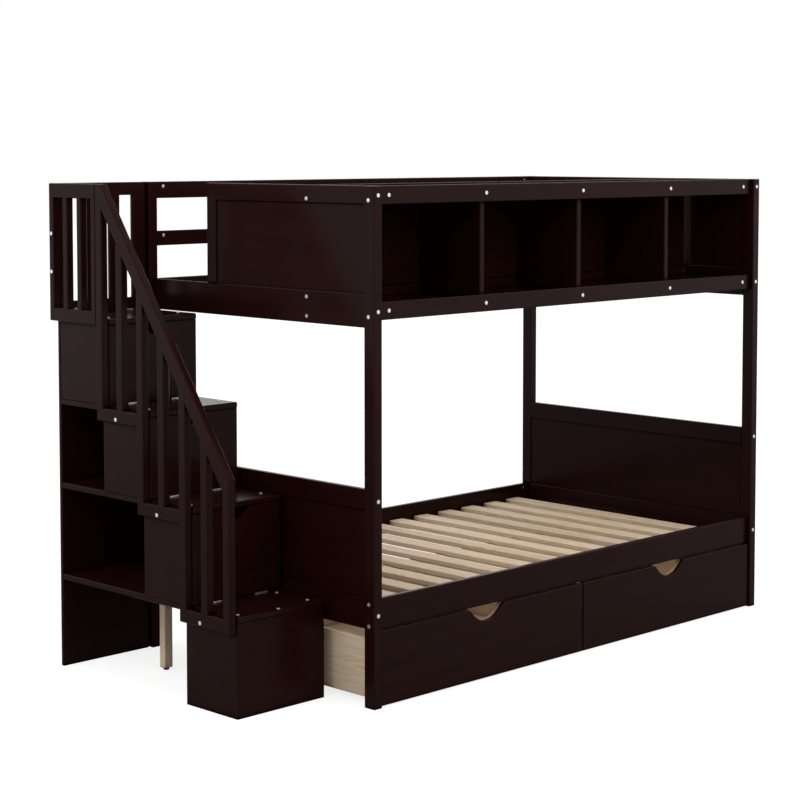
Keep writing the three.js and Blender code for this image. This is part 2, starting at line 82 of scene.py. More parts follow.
class FinishSettings(bpy.types.PropertyGroup):
    """Colours and gloss of the finishes, and the colours of the painted shade in their joints and recesses.
    """

    lacquer: FloatVectorProperty(
        name="Lacquer", description="Colour of the dark lacquer", subtype="COLOR", size=3,
        min=0, max=1, default=(0.0120, 0.0025, 0.0019),
    )
    # Painted shade: a darker lacquer that does not reflect, mixed into the joints and crevices where shade
    # falls.
    lacquer_painted_shade: FloatVectorProperty(
        name="Lacquer in joints", description="Colour of the dull lacquer that gathers in the joints",
        subtype="COLOR", size=3, min=0, max=1, default=(0.0030, 0.0010, 0.0008),
    )
    lacquer_roughness: FloatProperty(
        name="Lacquer roughness", description="Roughness of the satin lacquer", subtype="FACTOR",
        min=0, max=1, default=0.22,
    )
    pine: FloatVectorProperty(
        name="Pine", description="Colour of the bare pine", subtype="COLOR", size=3,
        min=0, max=1, default=(0.71, 0.572, 0.418),
    )
    pine_grain: FloatVectorProperty(
        name="Pine grain", description="Colour of the darker growth rings", subtype="COLOR", size=3,
        min=0, max=1, default=(0.50, 0.345, 0.205),
    )
    # Darker and more orange than the bare pine: painted shade for the wood seen through the drawers' finger
    # grips.
    inner_front: FloatVectorProperty(
        name="Inner front", description="Colour of the wood behind a drawer's front", subtype="COLOR",
        size=3, min=0, max=1, default=(0.44, 0.27, 0.16),
    )
    inner_front_grain: FloatVectorProperty(
        name="Inner front's grain", description="Colour of that wood's darker grain", subtype="COLOR",
        size=3, min=0, max=1, default=(0.33, 0.18, 0.095),
    )
    # Painted shade: the dark pine mixed into joints and recesses, such as the drawers' grips, where shade
    # falls.
    pine_painted_shade: FloatVectorProperty(
        name="Pine in recesses", description="Colour of the pine deep in joints and recesses",
        subtype="COLOR", size=3, min=0, max=1, default=(0.16, 0.075, 0.035),
    )
    steel: FloatVectorProperty(
        name="Steel", description="Colour of the plated steel fittings", subtype="COLOR", size=3,
        min=0, max=1, default=(0.86, 0.86, 0.85),
    )
    plastic: FloatVectorProperty(
        name="Plastic", description="Colour of the wheels and the levelling foot", subtype="COLOR", size=3,
        min=0, max=1, default=(0.012, 0.012, 0.013),
    )


class FittingSettings(bpy.types.PropertyGroup):
    """Sizes of the bolts, screws and hinges."""

    bolt_diameter: FloatProperty(
        name="Bolt head", description="Diameter of a bolt head", subtype="DISTANCE", default=0.0129,
    )
    bolt_thickness: FloatProperty(
        name="Bolt head thickness", description="How far a bolt head stands out", subtype="DISTANCE",
        default=0.0007,
    )
    socket_size: FloatProperty(
        name="Hex socket", description="Radius of the hexagonal socket in a bolt head", subtype="DISTANCE",
        default=0.0027,
    )
    nut_diameter: FloatProperty(
        name="Barrel nut", description="Diameter of the round nut in a rail's inner face",
        subtype="DISTANCE", default=0.012,
    )
    screw_diameter: FloatProperty(
        name="Screw head", description="Diameter of a screw head in a tread", subtype="DISTANCE",
        default=0.0120,
    )
    screw_height: FloatProperty(
        name="Screw head height", description="How far a screw head stands out of a tread",
        subtype="DISTANCE", default=0.0018,
    )
    hinge_length: FloatProperty(
        name="Hinge length", description="Length of a lid's hinge", subtype="DISTANCE", default=0.052,
    )
    hinge_leaf: FloatProperty(
        name="Hinge leaf", description="Width of each leaf of a hinge", subtype="DISTANCE", default=0.014,
    )
    hinge_pin: FloatProperty(
        name="Knuckle radius", description="Radius of a hinge's knuckles", subtype="DISTANCE",
        default=0.0016,
    )


class StageSettings(bpy.types.PropertyGroup):
    """Camera, lamps and floor."""

    lens: FloatProperty(
        name="Lens", description="Focal length of the camera", subtype="DISTANCE_CAMERA", default=89.93,
    )
    camera_height: FloatProperty(
        name="Camera height", description="Height of the camera above the floor", subtype="DISTANCE",
        default=1.733,
    )
    tilt: FloatProperty(
        name="Tilt", description="How far the camera looks down", subtype="ANGLE",
        default=math.radians(3.766),
    )
    shift: FloatProperty(
        name="Shift", description="Vertical lens shift, as a part of the frame's width", default=-0.15,
    )
    fill: FloatProperty(
        name="Fill", description="Strength of the even light from all round", default=1.0,
    )
    overhead_power: FloatProperty(
        name="Overhead lamp", description="Power of the large lamp above", subtype="POWER", default=20,
    )
    front_power: FloatProperty(
        name="Front lamp", description="Power of the large lamp before the drawers", subtype="POWER",
        default=44,
    )
    side_power: FloatProperty(
        name="Side lamp", description="Power of the large lamp on the staircase's side", subtype="POWER",
        default=45,
    )
    shade_samples: IntProperty(
        name="Shade samples", description="Samples for finding the edges and joints of the boards",
        default=4,
    )


# ---------------------------------------------------------------- shaders


class Wire:
    """A socket in a material's node tree. Arithmetic on it adds Math nodes."""

    def __init__(self, graph, socket):
        self.graph = graph
        self.socket = socket

    def _math(self, operation, *values):
        return self.graph.node("ShaderNodeMath", dict(enumerate(values)), operation=operation)

    def __add__(self, other):
        return self._math("ADD", self, other)

    __radd__ = __add__

    def __sub__(self, other):
        return self._math("SUBTRACT", self, other)

    def __rsub__(self, other):
        return self._math("SUBTRACT", other, self)

    def __mul__(self, other):
        return self._math("MULTIPLY", self, other)

    __rmul__ = __mul__

    def __truediv__(self, other):
        return self._math("DIVIDE", self, other)


class Graph:
    """The node tree of a new material, or of the world."""

    def __init__(self, tree):
        self.tree = tree
        tree.nodes.clear()

    def node(self, kind, values=None, output=0, **settings):
        """Adds a node, makes its settings, then sets or links its sockets. Returns one output."""
        made = self.tree.nodes.new(kind)
        for name, setting in settings.items():
            setattr(made, name, setting)
        for key, value in (values or {}).items():
            if isinstance(value, Wire):
                self.tree.links.new(value.socket, made.inputs[key])
            else:
                made.inputs[key].default_value = value
        return Wire(self, made.outputs[output]) if made.outputs else None

    def place(self, scale):
        """The point's place on the piece, stretched by a scale for each axis."""
        point = self.node("ShaderNodeTexCoord", output="Object")
        return self.node("ShaderNodeMapping", {"Vector": point, "Scale": scale})

    def noise(self, scale, detail=4.0, roughness=0.5, distortion=0.0):
        """A noise from 0 to 1, with its own scale along each axis."""
        sockets = {
            "Vector": self.place(scale), "Scale": 1.0, "Detail": detail, "Roughness": roughness,
            "Distortion": distortion,
        }
        return self.node("ShaderNodeTexNoise", sockets, output="Fac")

    def remap(self, value, start, end, low=0.0, high=1.0):
        """A smooth ramp from low to high as the value goes from start to end."""
        sockets = {"Value": value, "From Min": start, "From Max": end, "To Min": low, "To Max": high}
        return self.node("ShaderNodeMapRange", sockets, interpolation_type="SMOOTHSTEP")

    def mix(self, factor, first, second, blend="MIX"):
        """Mixes two colours. The numbers are the places of a Mix node's sockets for colours."""
        sockets = {0: factor, 6: colour(first), 7: colour(second)}
        return self.node("ShaderNodeMix", sockets, output=2, data_type="RGBA", blend_type=blend)

    def grey(self, value):
        """A grey as a colour."""
        return self.node("ShaderNodeCombineColor", {0: value, 1: value, 2: value})

    def bump(self, height, strength, distance, **base):
        """A normal bent by a height."""
        sockets = {"Height": height, "Strength": strength, "Distance": distance, **base}
        return self.node("ShaderNodeBump", sockets, output="Normal")

    def principled(self, **values):
        """A Principled shader. A name's underscores stand for spaces."""
        return self.node(
            "ShaderNodeBsdfPrincipled", {key.replace("_", " "): value for key, value in values.items()},
        )

    def surface(self, shader):
        """Makes a shader the material's surface."""
        self.node("ShaderNodeOutputMaterial", {"Surface": shader})


def colour(value):
    """A colour as four numbers, or the wire it already is."""
    return value if isinstance(value, Wire) else (*value[:3], 1.0)


def new_material(name):
    """A new material and the graph of its nodes."""
    material = bpy.data.materials.new(name)
    material.use_nodes = True
    return material, Graph(material.node_tree)


def along(axis, lengthwise, across):
    """A scale for each of X, Y and Z: one along the grain and one across it."""
    return tuple(lengthwise if name == axis else across for name in "XYZ")


def painted_joint_shade(graph, reach, open_face, deepest):
    """How much painted shade goes into the joints and recesses between boards: 1 deep in them, within a
    reach, and 0 on the open faces.
    """
    samples = bpy.context.scene.bunk_stage.shade_samples
    open_air = graph.node("ShaderNodeAmbientOcclusion", {"Distance": reach}, output="AO", samples=samples)
    return graph.remap(open_air, open_face, deepest)


EDGE_ROUNDING = 0.0025  # of a board's edges under the lacquer
LACQUER_SPECULAR = 0.078  # a satin lacquer reflects little when seen straight on


def lacquer_material(axis):
    """Dark satin lacquer over wood whose grain runs along the axis, with painted shade, dark and
    unreflecting, in its joints and crevices.
    """
    finish = bpy.context.scene.bunk_finish
    samples = bpy.context.scene.bunk_stage.shade_samples
    material, graph = new_material(f"espresso_lacquer_{axis.lower()}")
    pores = graph.noise(along(axis, 9.0, 520.0), detail=3.0, roughness=0.6)
    figure = graph.noise(along(axis, 1.6, 24.0), detail=3.0, distortion=0.6)
    cloud = graph.noise((2.2, 2.2, 2.2), detail=2.0)
    orange_peel = graph.noise((420.0, 420.0, 420.0), detail=1.0)
    rounded = graph.node("ShaderNodeBevel", {"Radius": EDGE_ROUNDING}, samples=samples)
    # Painted shade: 1 where neighbouring boards close in, which turns the lacquer dark and unreflecting
    # there.
    joint = painted_joint_shade(graph, reach=0.016, open_face=0.95, deepest=0.50)

    tone = graph.remap(figure * 0.7 + cloud * 0.3, 0.30, 0.70, 0.86, 1.16)
    pore = graph.remap(pores, 0.60, 0.72)
    shade = tone * (1.0 - pore * 0.22)
    relief = 0.5 - pore * 0.5 + orange_peel * 0.12 + figure * 0.15
    satin = graph.principled(
        Base_Color=graph.mix(1.0, finish.lacquer, graph.grey(shade), blend="MULTIPLY"),
        Roughness=finish.lacquer_roughness + cloud * 0.06 - 0.03 + pore * 0.07,
        Specular_IOR_Level=LACQUER_SPECULAR,
        Normal=graph.bump(relief, strength=0.22, distance=0.0003, Normal=rounded),
    )
    # The painted shade in joints and crevices, in place of the satin lacquer.
    dull = graph.principled(Base_Color=colour(finish.lacquer_painted_shade), Roughness=0.8, Specular_IOR_Level=0.0)
    graph.surface(graph.node("ShaderNodeMixShader", {0: joint, 1: satin, 2: dull}))
    return material


BOARD_WIDTH = 0.135  # a board's width and the gap beside it, over which its tone stays the same
BOARD_OFFSET = 0.04  # moves the change of tone into the gaps, as a part of that width
TONE_SHIFT = (7.0, 13.0, 5.0)  # how far a board's tone moves its grain along X, Y and Z


def wood_material(name, axis, across, face, ring):
    """Bare wood with its grain along one axis, each board across another in a tone of its own, darkened by
    painted shade in its joints and recesses.
    """
    material, graph = new_material(name)
    point = graph.node("ShaderNodeTexCoord", output="Object")
    place = graph.node("ShaderNodeSeparateXYZ", {0: point}, output=across)
    board = graph.node("ShaderNodeMath", {0: place / BOARD_WIDTH + BOARD_OFFSET}, operation="FLOOR")
    tone = graph.node("ShaderNodeTexWhiteNoise", {"W": board}, output="Value", noise_dimensions="1D")

    shift = {i: tone * reach for i, reach in enumerate(TONE_SHIFT)}
    offset = graph.node("ShaderNodeCombineXYZ", shift)
    moved = graph.node("ShaderNodeVectorMath", {0: point, 1: offset}, operation="ADD")
    stretched = graph.node("ShaderNodeMapping", {"Vector": moved, "Scale": along(axis, 1.1, 21.0)})
    sockets = {"Vector": stretched, "Scale": 1.0, "Detail": 2.0, "Distortion": 1.6}
    rings = graph.node("ShaderNodeTexNoise", sockets, output="Fac")
    bands = graph.node("ShaderNodeMath", {0: rings * 9.0}, operation="FRACT")
    band = graph.remap(bands, 0.35, 0.95)
    fibre = graph.noise(along(axis, 14.0, 620.0), detail=3.0, roughness=0.6)
    cloud = graph.noise(along(axis, 1.5, 6.0), detail=2.0)

    grain = band * 0.42 + fibre * 0.22 + cloud * 0.30 - 0.12
    base = graph.mix(grain, face, ring)
    lit = graph.remap(tone, 0.0, 1.0, 0.90, 1.06)
    toned = graph.mix(1.0, base, graph.grey(lit), blend="MULTIPLY")
    # Painted shade: the pine turns dark in joints and recesses, by how much neighbouring parts close in.
    recess_shade = painted_joint_shade(graph, reach=0.050, open_face=0.80, deepest=0.25)
    graph.surface(graph.principled(
        Base_Color=graph.mix(recess_shade * 0.9, toned, bpy.context.scene.bunk_finish.pine_painted_shade),
        Roughness=0.62 + fibre * 0.12, Specular_IOR_Level=0.25,
        Normal=graph.bump(fibre * 0.7 + band * 0.3, strength=0.25, distance=0.0004),
    ))
    return material


def steel_material():
    """Bright zinc-plated steel."""
    finish = bpy.context.scene.bunk_finish
    material, graph = new_material("plated_steel")
    smear = graph.noise((260.0, 260.0, 260.0), detail=2.0)
    fine = graph.noise((1900.0, 1900.0, 1900.0), detail=1.0)
    worn = tuple(part * 0.82 for part in finish.steel)
    base = graph.mix(smear * 0.35, finish.steel, worn)
    graph.surface(graph.principled(
        Base_Color=base, Metallic=1.0, Roughness=0.26 + smear * 0.16,
        Normal=graph.bump(fine, strength=0.10, distance=0.0001),
    ))
    return material


def plastic_material():
    """Black moulded plastic with a fine texture."""
    finish = bpy.context.scene.bunk_finish
    material, graph = new_material("black_plastic")
    grit = graph.noise((900.0, 900.0, 900.0), detail=2.0)
    scuff = graph.noise((70.0, 70.0, 70.0), detail=3.0)
    worn = tuple(part * 2.2 for part in finish.plastic)
    base = graph.mix(scuff * 0.5, finish.plastic, worn)
    graph.surface(graph.principled(
        Base_Color=base, Roughness=0.48 + scuff * 0.2,
        Normal=graph.bump(grit, strength=0.15, distance=0.0002),
    ))
    return material


# ---------------------------------------------------------------- modelling helpers


def deselect():
    """Leaves edit mode with nothing selected."""
    if bpy.context.object and bpy.context.object.mode != "OBJECT":
        bpy.ops.object.mode_set(mode="OBJECT")
    bpy.ops.object.select_all(action="DESELECT")


def pick(*objects):
    """Selects only these objects and makes the last one active."""
    deselect()
    for obj in objects:
        obj.select_set(True)
    bpy.context.view_layer.objects.active = objects[-1]


def edit_faces(obj, test):
    """Enters edit mode with only the faces that pass the test selected."""
    pick(obj)
    bpy.ops.object.mode_set(mode="EDIT")
    bpy.ops.mesh.select_mode(type="FACE")
    bpy.ops.mesh.select_all(action="DESELECT")
    bpy.ops.object.mode_set(mode="OBJECT")
    for face in obj.data.polygons:
        face.select = test(face)
    bpy.ops.object.mode_set(mode="EDIT")


def settle(obj, matrix=None):
    """Puts an object's place, turn and size into its mesh, so that its origin is the frame's."""
    pick(obj)
    if matrix is not None:
        obj.matrix_world = matrix
    bpy.ops.object.transform_apply(location=True, rotation=True, scale=True)
    return obj


def copy_to(obj, matrix):
    """A copy of a piece with a mesh of its own, put in its place."""
    pick(obj)
    bpy.ops.object.duplicate()
    return settle(bpy.context.object, matrix)


def join(pieces, name):
    """Joins pieces into one object."""
    pick(*pieces)
    if len(pieces) > 1:
        bpy.ops.object.join()
    whole = bpy.context.object
    whole.name = name
    whole.data.name = name
    return whole


def discard(obj):
    """Removes a piece that was only a pattern for copies or a tool for a cut."""
    bpy.data.meshes.remove(obj.data)


def finish_piece(obj, name, material, body):
    """Names a piece, gives it its material and puts it on its body."""
    obj.name = name
    obj.data.materials.clear()
    obj.data.materials.append(material)
    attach(obj, body)


def cut(obj, tool):
    """Cuts one closed piece out of another."""
    pick(obj)
    bpy.ops.object.modifier_add(type="BOOLEAN")
    cutter = obj.modifiers[-1]
    cutter.operation = "DIFFERENCE"
    cutter.object = tool
    bpy.ops.object.modifier_apply(modifier=cutter.name)
    discard(tool)


def smooth(obj, angle=40):
    """Smooth shading across the shallow edges of a piece."""
    pick(obj)
    bpy.ops.object.shade_smooth_by_angle(angle=math.radians(angle))


# Turns a fitting that stands on Z = 0 to face each way.
FACING = {
    "-X": Matrix.Rotation(math.radians(-90), 4, "Y"),
    "+X": Matrix.Rotation(math.radians(90), 4, "Y"),
    "-Y": Matrix.Rotation(math.radians(90), 4, "X"),
    "+Y": Matrix.Rotation(math.radians(-90), 4, "X"),
    "+Z": Matrix.Identity(4),
}


def middle(node):
    """The middle of a node's box."""
    a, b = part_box(node)
    return (Vector(a) + Vector(b)) / 2


def low(node):
    """The corner of a node's box at its least X, Y and Z."""
    return Vector(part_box(node)[0])


def high(node):
    """The corner of a node's box at its greatest X, Y and Z."""
    return Vector(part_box(node)[1])


# ---------------------------------------------------------------- bolts, nuts and screws


def round_head(sides, diameter, height, rim, segments):
    """A disc that stands on Z = 0, with its top edge softened by a part of its height."""
    deselect()
    bpy.ops.mesh.primitive_cylinder_add(
        vertices=sides, radius=diameter / 2, depth=height, location=(0, 0, height / 2),
    )
    head = bpy.context.object
    edit_faces(head, lambda face: face.normal.z > 0.9)
    bpy.ops.mesh.bevel(offset=height * rim, segments=segments, affect="EDGES")
    bpy.ops.object.mode_set(mode="OBJECT")
    return settle(head)


def cut_slot(head, length, width, height, turn=0):
    """Cuts a screwdriver's slot across the top of a head, turned by some degrees."""
    deselect()
    bpy.ops.mesh.primitive_cube_add(size=1, location=(0, 0, height), rotation=(0, 0, math.radians(turn)))
    blade = bpy.context.object
    blade.scale = (length, width, height)
    cut(head, settle(blade))


def bolt_head():
    """A flat round bolt head with a hexagonal socket."""
    fit = bpy.context.scene.bunk_fittings
    height = fit.bolt_thickness
    head = round_head(sides=32, diameter=fit.bolt_diameter, height=height, rim=0.5, segments=3)
    deselect()
    bpy.ops.mesh.primitive_cylinder_add(
        vertices=6, radius=fit.socket_size, depth=height, location=(0, 0, height * 0.85),
    )
    cut(head, settle(bpy.context.object))
    smooth(head)
    return head


def barrel_nut():
    """The flush round end of a barrel nut, with a slot across it."""
    fit = bpy.context.scene.bunk_fittings
    radius, height = fit.nut_diameter / 2, fit.bolt_thickness * 0.4
    nut = round_head(sides=28, diameter=fit.nut_diameter, height=height, rim=0.4, segments=2)
    cut_slot(nut, length=radius * 2.4, width=radius * 0.26, height=height)
    smooth(nut)
    return nut


def screw_head():
    """A small round screw head with a cross cut into it."""
    fit = bpy.context.scene.bunk_fittings
    radius, height = fit.screw_diameter / 2, fit.screw_height
    head = round_head(sides=24, diameter=fit.screw_diameter, height=height, rim=0.55, segments=3)
    for turn in (0, 90):
        cut_slot(head, length=radius * 1.1, width=radius * 0.24, height=height, turn=turn)
    smooth(head)
    return head


def set_fittings(pattern, name, body, facing, places, material):
    """Copies a fitting to each place, turned to face one way, as one piece of a body."""
    copies = [copy_to(pattern, Matrix.Translation(place) @ FACING[facing]) for place in places]
    finish_piece(join(copies, name), name, material, body)


RAIL_PAIR = 0.034  # from the middle of a long rail to each of the two bolts at its end
SHORT_PAIR = 0.031  # the same on the upper front rail and the rail across the upper left end
CAP_RAIL = 0.0325  # from the top of a lower end board to the middle of its capping rail
SHELF_BOLTS = 0.0445  # from the end of a bookshelf rail to its last bolt
SHELF_DROP = 0.015  # from the middle of the bookshelf's top rail down to the bolts at its ends
SHELF_FOOT_DROP = 0.016  # the same on its bottom rail
SHELF_BEHIND = 0.021  # from the upper front rail's face to the bolts in the end board beside it
FOOT_RAIL_BOLT = (0.146, 0.0365)  # behind a step box's front and below its tread
GUARD_BOLTS = (0.162, 0.288)  # heights above the outer guard's foot
GUARD_STILE = 0.012  # from the outer guard's back edge to those bolts
BACK_GUARD_BOLT = (0.064, 0.013)  # from the back guard's left and from its foot
NUT_FROM_POST = 0.033  # from the end of a back rail to a barrel nut
NUT_FROM_POST_FRONT = 0.024  # the same on the upper front rail
NUT_RISES = {
    "guard_top_rail": (0.012,),
    "guard_middle_rail": (0.01,),
    "upper_back_rail": (RAIL_PAIR, -RAIL_PAIR),
    "lower_back_rail": (RAIL_PAIR, -RAIL_PAIR),
    "upper_front_rail": (SHORT_PAIR, -SHORT_PAIR),
}


def pair(rail, half=RAIL_PAIR):
    """The heights of the two bolts at the end of a rail."""
    return [middle(rail).z + half, middle(rail).z - half]


def post_places():
    """Bolt places on the posts, by the way that they face."""
    places = {facing: [] for facing in SIDES}
    end_rails = [
        middle("shelf_top_rail").z,
        middle("upper_left_rail").z,
        high("lower_left_end_board").z - CAP_RAIL,
        middle("lower_left_rail").z,
    ]
    ahead = [
        middle("shelf_top_rail").z - SHELF_DROP,
        middle("shelf_bottom_rail").z - SHELF_FOOT_DROP,
        *pair("lower_front_rail"),
    ]
    guard = [middle("guard_top_rail").z, middle("guard_middle_rail").z]
    behind = pair("upper_back_rail") + pair("lower_back_rail")
    for end, facing in (("left", "-X"), ("right", "+X")):
        front, back = f"post_front_{end}", f"post_back_{end}"
        places["-Y"] += [Vector((middle(front).x, low(front).y, z)) for z in end_rails]
        places["+Y"] += [Vector((middle(back).x, high(back).y, z)) for z in end_rails]
        at_back = behind if end == "left" else guard + behind
        for post, rail, heights in ((front, "lower_front_rail", ahead), (back, "lower_back_rail", at_back)):
            x = low(post).x if end == "left" else high(post).x
            places[facing] += [Vector((x, middle(rail).y, z)) for z in heights]
    return places


def bookshelf_places():
    """Bolt places along the two front rails of the bookshelf, one at each upright board."""
    rails = ("shelf_top_rail", "shelf_bottom_rail")
    columns = [low(rails[0]).x + SHELF_BOLTS, high(rails[0]).x - SHELF_BOLTS]
    columns += [middle(f"shelf_divider_{i}").x for i in (1, 2, 3)]
    return [Vector((x, low(rail).y, middle(rail).z)) for rail in rails for x in columns]


def staircase_places():
    """Bolt places on the outside of the handrail, its guard and the upper left end board."""
    places = []
    back, below = FOOT_RAIL_BOLT
    for step in (1, 2, 3):
        front, tread = low(f"step_box_{step}").y, high(f"step_lid_{step}").z
        places.append(Vector((low("handrail").x, front + back, tread - below)))
    guard, stile = low("outer_guard"), high("outer_guard").y - GUARD_STILE
    places += [Vector((guard.x, stile, guard.z + rise)) for rise in GUARD_BOLTS]
    x, y = low("upper_left_rail").x, low("upper_front_rail").y + SHELF_BEHIND
    heights = [*pair("upper_left_rail", SHORT_PAIR), middle("shelf_top_rail").z - SHELF_DROP]
    places += [Vector((x, y, z)) for z in heights]
    return places


def nut_places():
    """Places of the barrel nuts on the inner faces of the long rails, near each end."""
    places = []
    for rail, rises in NUT_RISES.items():
        inset = NUT_FROM_POST_FRONT if rail == "upper_front_rail" else NUT_FROM_POST
        for x in (low(rail).x + inset, high(rail).x - inset):
            places += [Vector((x, low(rail).y, middle(rail).z + rise)) for rise in rises]
    return places


class BUNK_OT_bolts(bpy.types.Operator):
    """Bolts through the posts, the bookshelf and the staircase, and the nuts they screw into"""

    bl_idname = "bunk.bolts"
    bl_label = "Bolts and Nuts"

    def execute(self, context):
        steel = bpy.data.materials["plated_steel"]
        bolt = bolt_head()
        for facing, places in post_places().items():
            set_fittings(bolt, f"post_bolts_{SIDES[facing]}", BED_BODY, facing, places, steel)
        set_fittings(bolt, "bookshelf_bolts", BED_BODY, "-Y", bookshelf_places(), steel)
        set_fittings(bolt, "staircase_bolts", BED_BODY, "-X", staircase_places(), steel)
        guard = low("back_guard")
        place = Vector((guard.x + BACK_GUARD_BOLT[0], guard.y, guard.z + BACK_GUARD_BOLT[1]))
        set_fittings(bolt, "back_guard_bolt", BED_BODY, "-Y", [place], steel)
        discard(bolt)
        nut = barrel_nut()
        set_fittings(nut, "rail_nuts", BED_BODY, "-Y", nut_places(), steel)
        discard(nut)
        return {"FINISHED"}


# How far a tread's screws are from its edges. The one at the middle is a little left of it.
LOWEST_FRONT = {"left": 0.028, "right": 0.044, "front": 0.035}
UPPER_FRONT = {"left": 0.037, "right": 0.031, "front": 0.061}
TREAD_BACK = {"left": 0.028, "right": 0.044, "back": 0.028}
LOWEST_MIDDLE = {"left": 0.010, "front": 0.009}


class BUNK_OT_tread_screws(bpy.types.Operator):
    """Screws at the corners of each tread, and one at the front of the lowest, which has no finger grip"""

    bl_idname = "bunk.tread_screws"
    bl_label = "Tread Screws"

    def execute(self, context):
        steel = bpy.data.materials["plated_steel"]
        screw = screw_head()
        for step in range(1, TREADS + 1):
            lid = f"step_lid_{step}"
            tops = [Vector((x, y, high(lid).z)) for x, y in self.places(lid, lowest=step == 1)]
            set_fittings(screw, f"tread_{step}_screws", lid, "+Z", tops, steel)
        discard(screw)
        return {"FINISHED"}

    @staticmethod
    def places(lid, lowest):
        """Where the screws of a tread stand, as X and Y."""
        a, b = low(lid), high(lid)
        inset = LOWEST_FRONT if lowest else UPPER_FRONT
        front, back = a.y + inset["front"], b.y - TREAD_BACK["back"]
        places = [(a.x + inset["left"], front), (b.x - inset["right"], front)]
        if lowest:
            places.append((middle(lid).x - LOWEST_MIDDLE["left"], a.y + LOWEST_MIDDLE["front"]))
        return places + [(a.x + TREAD_BACK["left"], back), (b.x - TREAD_BACK["right"], back)]


# ---------------------------------------------------------------- lid hinges

HINGE_PLATE = 0.0008  # thickness of a hinge's leaf
HINGE_PLAY = 0.0002  # between parts of a hinge that move past each other
HINGE_GAP = 0.0039  # from the back of a lid to the board behind it
HINGE_INSETS = (0.086, 0.082)  # from a lid's left and right edge to the middle of its hinge
HINGE_SCREW = 0.35  # size of a hinge's screw beside a tread's
HINGE_SCREW_DROP = 0.55  # where it sits on the leaf, as a part of the leaf's width


def plate(size, place):
    """A thin metal plate with rounded corners and softened edges."""
    deselect()
    bpy.ops.mesh.primitive_cube_add(size=1, location=place)
    made = bpy.context.object
    made.scale = size
    settle(made)
    edit_faces(made, lambda face: True)
    bpy.ops.mesh.bevel(offset=min(size) * 0.35, segments=2, affect="EDGES")
    bpy.ops.object.mode_set(mode="OBJECT")
    return made


def knuckle(radius, start, end, place):
    """A stretch of a hinge's barrel along X."""
    deselect()
    bpy.ops.mesh.primitive_cylinder_add(
        vertices=20, radius=radius, depth=end - start, rotation=(0, math.radians(90), 0),
        location=(place.x + (start + end) / 2, place.y, place.z),
    )
    made = settle(bpy.context.object)
    edit_faces(made, lambda face: abs(face.normal.x) > 0.9)
    bpy.ops.mesh.bevel(offset=radius * 0.18, segments=2, affect="EDGES")
    bpy.ops.object.mode_set(mode="OBJECT")
    return made


class BUNK_OT_hinges(bpy.types.Operator):
    """Two hinges behind each tread, their leaves folded down between the lid and the board behind it"""

    bl_idname = "bunk.hinges"
    bl_label = "Lid Hinges"

    def execute(self, context):
        steel = bpy.data.materials["plated_steel"]
        joints = {joint["child"]: joint for joint in FRAME["joints"]}
        screw = screw_head()
        for step in range(1, TREADS + 1):
            lid = f"step_lid_{step}"
            pin = Vector(joints[lid]["pos_m"])
            moving, still = [], []
            for x in (low(lid).x + HINGE_INSETS[0], high(lid).x - HINGE_INSETS[1]):
                place = Vector((x, pin.y, pin.z))
                moving += self.lid_leaf(place, screw)
                still += self.fixed_leaf(place, screw)
            for leaves, kind, body in ((moving, "lid", lid), (still, "fixed", BED_BODY)):
                name = f"hinge_{step}_{kind}_leaves"
                whole = join(leaves, name)
                smooth(whole, angle=35)
                finish_piece(whole, name, steel, body)
        discard(screw)
        return {"FINISHED"}

    @staticmethod
    def leaf_screw(screw, place, facing):
        """One screw in a leaf."""
        return copy_to(screw, Matrix.Translation(place) @ FACING[facing] @ Matrix.Scale(HINGE_SCREW, 4))

    @classmethod
    def lid_leaf(cls, pin, screw):
        """The two outer knuckles and the leaf that they hang from the pin, against the back of the lid."""
        fit = bpy.context.scene.bunk_fittings
        third, thin, drop = fit.hinge_length / 3, HINGE_PLATE, fit.hinge_leaf
        below = fit.hinge_pin + HINGE_PLAY
        face = pin.y + HINGE_PLAY + thin / 2
        pieces = [plate((fit.hinge_length, thin, drop), (pin.x, face, pin.z - below - drop / 2))]
        for side in (-1, 1):
            ends = sorted((side * (third / 2 + HINGE_PLAY), side * third * 1.5))
            pieces.append(knuckle(fit.hinge_pin, *ends, pin))
            x = pin.x + side * third
            pieces.append(plate((third - HINGE_PLAY, thin, below * 2), (x, face, pin.z - below)))
            place = Vector((x, face + thin / 2, pin.z - below - drop * HINGE_SCREW_DROP))
            pieces.append(cls.leaf_screw(screw, place, "+Y"))
        return pieces

    @classmethod
    def fixed_leaf(cls, pin, screw):
        """The middle knuckle and its leaf against the board behind the lid."""
        fit = bpy.context.scene.bunk_fittings
        third, thin, drop = fit.hinge_length / 3, HINGE_PLATE, fit.hinge_leaf
        face = pin.y + HINGE_GAP - thin / 2
        pieces = [
            knuckle(fit.hinge_pin, -third / 2, third / 2, pin),
            plate((fit.hinge_length, thin, drop), (pin.x, face, pin.z - drop / 2)),
            plate((third - HINGE_PLAY, HINGE_GAP, thin), (pin.x, pin.y + HINGE_GAP / 2, pin.z - thin / 2)),
        ]
        for side in (-1, 1):
            place = Vector((pin.x + side * third, face - thin / 2, pin.z - drop * HINGE_SCREW_DROP))
            pieces.append(cls.leaf_screw(screw, place, "-Y"))
        return pieces


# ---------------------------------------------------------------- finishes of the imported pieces

# The grain of the bare wood and of the upright guards. Other boards have theirs along their length.
BARE_GRAIN = {
    "lower_slats": "Y",
    "upper_slats": "Y",
    "stair_leg": "Z",
    "drawer_left_tray": "Y",
    "drawer_right_tray": "Y",
    "drawer_left_inner_front": "X",
    "drawer_right_inner_front": "X",
}
UPRIGHT_GRAIN = ("outer_guard", "back_guard", "handrail")


